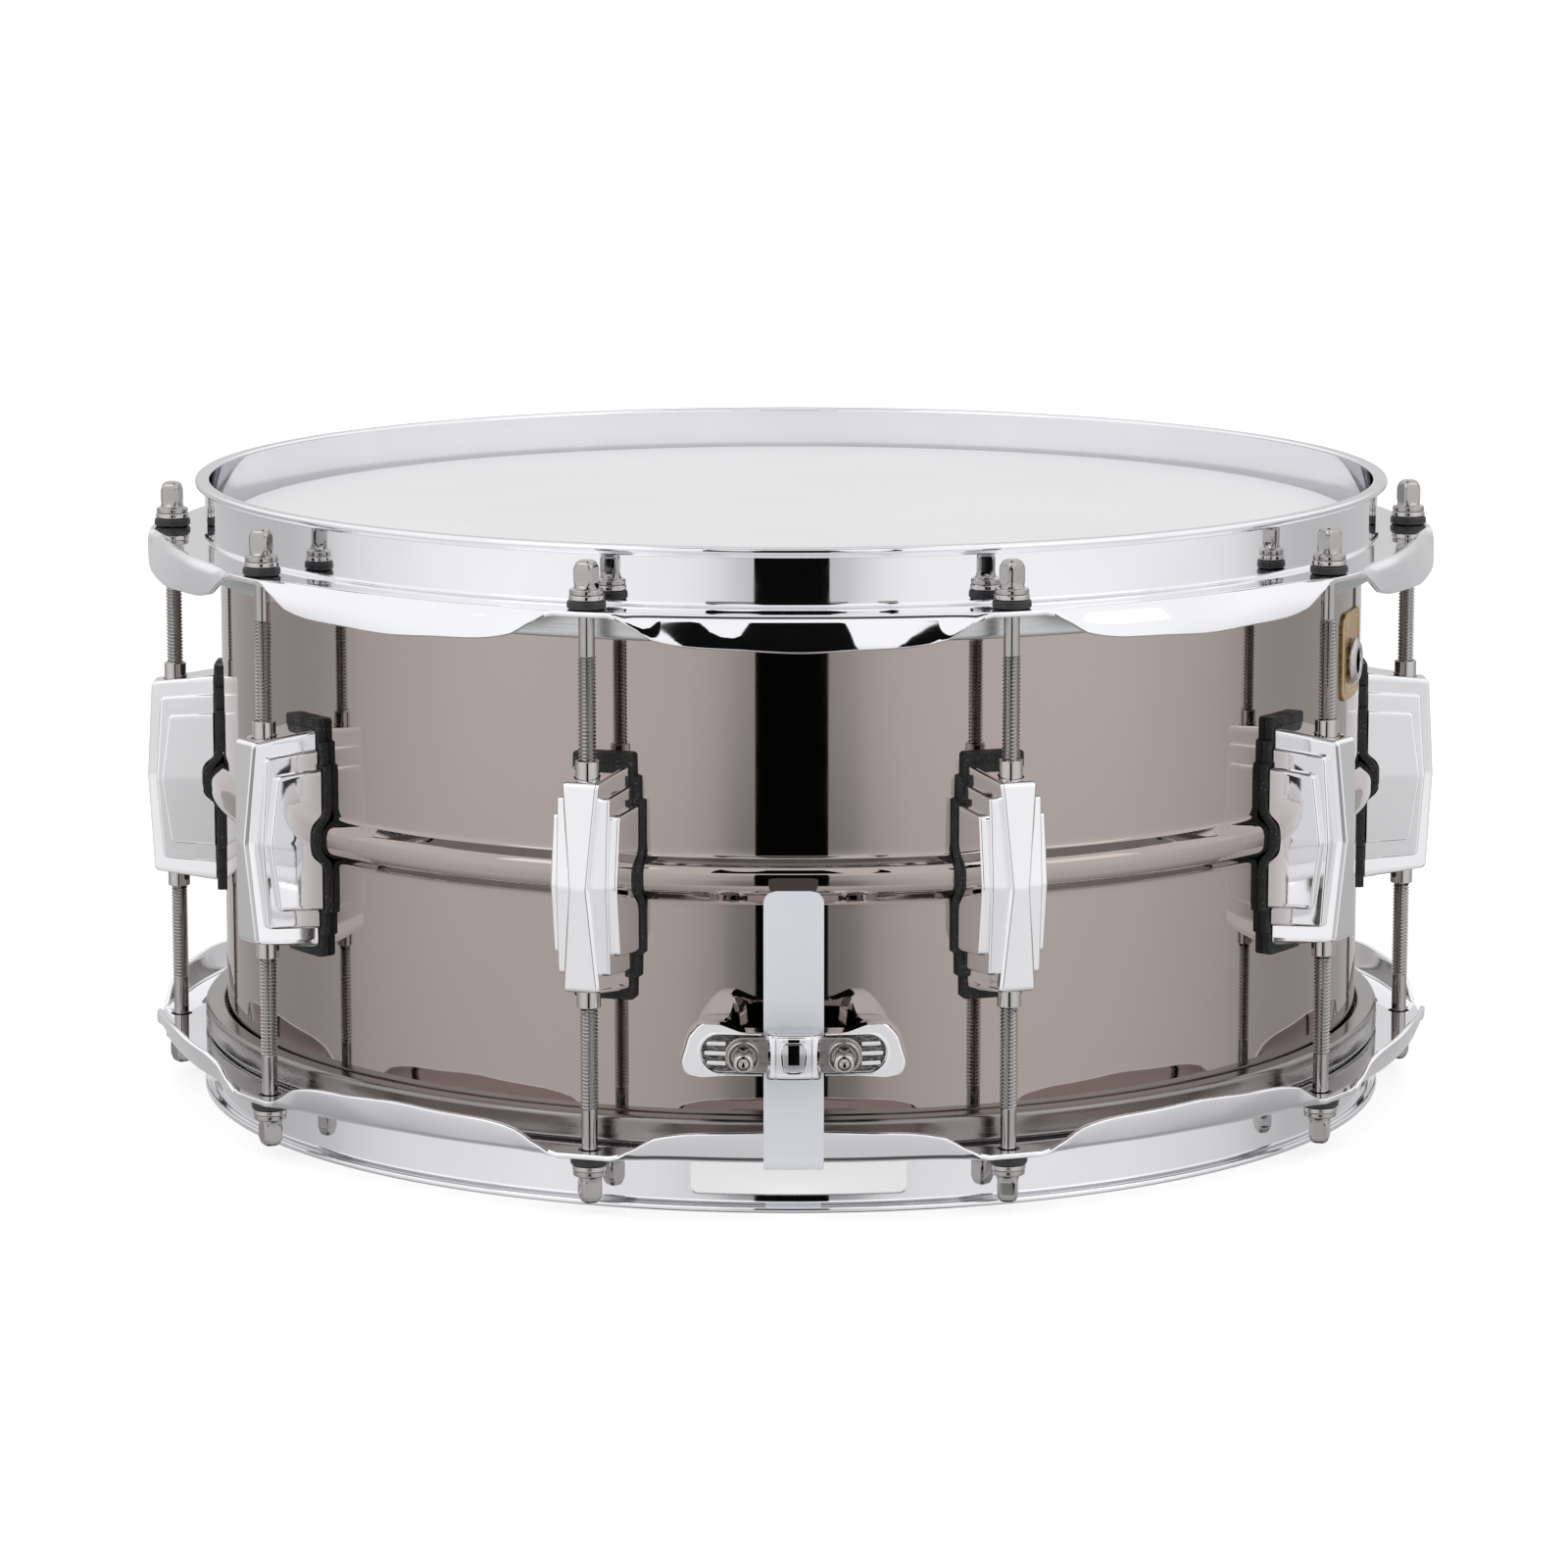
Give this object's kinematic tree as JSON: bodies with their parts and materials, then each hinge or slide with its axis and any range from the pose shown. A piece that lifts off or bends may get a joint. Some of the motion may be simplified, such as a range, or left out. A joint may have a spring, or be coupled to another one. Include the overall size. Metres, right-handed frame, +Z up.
{
  "type": "snare drum",
  "caption": "Beaded metal snare drum with stepped double-ended lugs, triple-flanged hoops, butt plate, throw-off strainer and snare wires.",
  "frame": {"origin": "on the drum's axis, in the plane of the lower rim that it rests on", "axes": "+Z up through the batter head; the butt plate faces -Y and the throw-off strainer faces +Y"},
  "size_m": [0.4044, 0.4281, 0.1915],
  "materials": {
    "black_nickel": "polished black nickel",
    "chrome": "bright polished",
    "nickel": "satin nickel plate",
    "aluminium": "matt",
    "brass": "satin",
    "steel": "bright",
    "rubber": "matt",
    "coated_film": "coated, slightly rough",
    "clear_film": "clear gloss",
    "strap_plastic": "translucent, semi-gloss"
  },
  "bodies": {
    "drum": {"shell": "black_nickel", "batter_hoop": "chrome", "resonant_hoop": "chrome", "batter_head_film": "coated_film", "resonant_head_film": "clear_film", "batter_flesh_hoop": "aluminium", "resonant_flesh_hoop": "aluminium", "lug_01": "chrome", "lug_gasket_01": "rubber", "lug_02": "chrome", "lug_gasket_02": "rubber", "lug_03": "chrome", "lug_gasket_03": "rubber", "lug_04": "chrome", "lug_gasket_04": "rubber", "lug_05": "chrome", "lug_gasket_05": "rubber", "lug_06": "chrome", "lug_gasket_06": "rubber", "lug_07": "chrome", "lug_gasket_07": "rubber", "lug_08": "chrome", "lug_gasket_08": "rubber", "lug_09": "chrome", "lug_gasket_09": "rubber", "lug_10": "chrome", "lug_gasket_10": "rubber", "badge": "brass", "vent_grommet": "nickel", "butt_plate": "chrome", "butt_clamp": "chrome", "butt_strap": "strap_plastic", "strainer_body": "chrome"},
    "lever": {"strainer_lever": "chrome"},
    "carriage": {"strainer_carriage": "steel"},
    "tension_block": {"strainer_block": "chrome", "strainer_clamp": "chrome", "strainer_strap": "strap_plastic"},
    "knob": {"strainer_knob": "chrome"},
    "snare": {"snare_wires": "steel"},
    "rod_top_01": {"tension_rod_top_01": "nickel"},
    "rod_bottom_01": {"tension_rod_bottom_01": "nickel"},
    "rod_top_02": {"tension_rod_top_02": "nickel"},
    "rod_bottom_02": {"tension_rod_bottom_02": "nickel"},
    "rod_top_03": {"tension_rod_top_03": "nickel"},
    "rod_bottom_03": {"tension_rod_bottom_03": "nickel"},
    "rod_top_04": {"tension_rod_top_04": "nickel"},
    "rod_bottom_04": {"tension_rod_bottom_04": "nickel"},
    "rod_top_05": {"tension_rod_top_05": "nickel"},
    "rod_bottom_05": {"tension_rod_bottom_05": "nickel"},
    "rod_top_06": {"tension_rod_top_06": "nickel"},
    "rod_bottom_06": {"tension_rod_bottom_06": "nickel"},
    "rod_top_07": {"tension_rod_top_07": "nickel"},
    "rod_bottom_07": {"tension_rod_bottom_07": "nickel"},
    "rod_top_08": {"tension_rod_top_08": "nickel"},
    "rod_bottom_08": {"tension_rod_bottom_08": "nickel"},
    "rod_top_09": {"tension_rod_top_09": "nickel"},
    "rod_bottom_09": {"tension_rod_bottom_09": "nickel"},
    "rod_top_10": {"tension_rod_top_10": "nickel"},
    "rod_bottom_10": {"tension_rod_bottom_10": "nickel"}
  },
  "joints": [
    {"name": "rod_top_01_turn", "type": "hinge", "parent": "drum", "child": "rod_top_01", "pos_m": [0.0597, -0.18374, 0.17], "axis": [0, 0, 1], "continuous": true},
    {"name": "rod_top_02_turn", "type": "hinge", "parent": "drum", "child": "rod_top_02", "pos_m": [0.1563, -0.11356, 0.17], "axis": [0, 0, 1], "continuous": true},
    {"name": "rod_top_03_turn", "type": "hinge", "parent": "drum", "child": "rod_top_03", "pos_m": [0.1932, 0, 0.17], "axis": [0, 0, 1], "continuous": true},
    {"name": "rod_top_04_turn", "type": "hinge", "parent": "drum", "child": "rod_top_04", "pos_m": [0.1563, 0.11356, 0.17], "axis": [0, 0, 1], "continuous": true},
    {"name": "rod_top_05_turn", "type": "hinge", "parent": "drum", "child": "rod_top_05", "pos_m": [0.0597, 0.18374, 0.17], "axis": [0, 0, 1], "continuous": true},
    {"name": "rod_top_06_turn", "type": "hinge", "parent": "drum", "child": "rod_top_06", "pos_m": [-0.0597, 0.18374, 0.17], "axis": [0, 0, 1], "continuous": true},
    {"name": "rod_top_07_turn", "type": "hinge", "parent": "drum", "child": "rod_top_07", "pos_m": [-0.1563, 0.11356, 0.17], "axis": [0, 0, 1], "continuous": true},
    {"name": "rod_top_08_turn", "type": "hinge", "parent": "drum", "child": "rod_top_08", "pos_m": [-0.1932, 0, 0.17], "axis": [0, 0, 1], "continuous": true},
    {"name": "rod_top_09_turn", "type": "hinge", "parent": "drum", "child": "rod_top_09", "pos_m": [-0.1563, -0.11356, 0.17], "axis": [0, 0, 1], "continuous": true},
    {"name": "rod_top_10_turn", "type": "hinge", "parent": "drum", "child": "rod_top_10", "pos_m": [-0.0597, -0.18374, 0.17], "axis": [0, 0, 1], "continuous": true},
    {"name": "rod_bottom_01_turn", "type": "hinge", "parent": "drum", "child": "rod_bottom_01", "pos_m": [0.0597, -0.18374, 0.0215], "axis": [0, 0, -1], "continuous": true},
    {"name": "rod_bottom_02_turn", "type": "hinge", "parent": "drum", "child": "rod_bottom_02", "pos_m": [0.1563, -0.11356, 0.0215], "axis": [0, 0, -1], "continuous": true},
    {"name": "rod_bottom_03_turn", "type": "hinge", "parent": "drum", "child": "rod_bottom_03", "pos_m": [0.1932, 0, 0.0215], "axis": [0, 0, -1], "continuous": true},
    {"name": "rod_bottom_04_turn", "type": "hinge", "parent": "drum", "child": "rod_bottom_04", "pos_m": [0.1563, 0.11356, 0.0215], "axis": [0, 0, -1], "continuous": true},
    {"name": "rod_bottom_05_turn", "type": "hinge", "parent": "drum", "child": "rod_bottom_05", "pos_m": [0.0597, 0.18374, 0.0215], "axis": [0, 0, -1], "continuous": true},
    {"name": "rod_bottom_06_turn", "type": "hinge", "parent": "drum", "child": "rod_bottom_06", "pos_m": [-0.0597, 0.18374, 0.0215], "axis": [0, 0, -1], "continuous": true},
    {"name": "rod_bottom_07_turn", "type": "hinge", "parent": "drum", "child": "rod_bottom_07", "pos_m": [-0.1563, 0.11356, 0.0215], "axis": [0, 0, -1], "continuous": true},
    {"name": "rod_bottom_08_turn", "type": "hinge", "parent": "drum", "child": "rod_bottom_08", "pos_m": [-0.1932, 0, 0.0215], "axis": [0, 0, -1], "continuous": true},
    {"name": "rod_bottom_09_turn", "type": "hinge", "parent": "drum", "child": "rod_bottom_09", "pos_m": [-0.1563, -0.11356, 0.0215], "axis": [0, 0, -1], "continuous": true},
    {"name": "rod_bottom_10_turn", "type": "hinge", "parent": "drum", "child": "rod_bottom_10", "pos_m": [-0.0597, -0.18374, 0.0215], "axis": [0, 0, -1], "continuous": true},
    {"name": "lever_throw", "type": "hinge", "parent": "drum", "child": "lever", "pos_m": [0, 0.192, 0.074], "axis": [-1, 0, 0], "range_deg": [0, 95]},
    {"name": "carriage_drop", "type": "slide", "parent": "drum", "child": "carriage", "axis": [0, 0, -1], "range_m": [0, 0.0051]},
    {"name": "snare_drop", "type": "hinge", "parent": "drum", "child": "snare", "pos_m": [0, -0.157, 0.0112], "axis": [-1, 0, 0], "range_deg": [0, 1]},
    {"name": "knob_turn", "type": "hinge", "parent": "carriage", "child": "knob", "pos_m": [0, 0.192, 0.09], "axis": [0, 0, 1], "range_deg": [0, 1080]},
    {"name": "tension_drop", "type": "slide", "parent": "carriage", "child": "tension_block", "axis": [0, 0, -1], "range_m": [0, 0.0025]}
  ],
  "couplings": [
    {"joint": "carriage_drop", "follows": "lever_throw", "m_per_rad": 0.0030156},
    {"joint": "snare_drop", "follows": "lever_throw", "ratio": 0.0096},
    {"joint": "tension_drop", "follows": "knob_turn", "m_per_rad": 0.00012732}
  ]
}
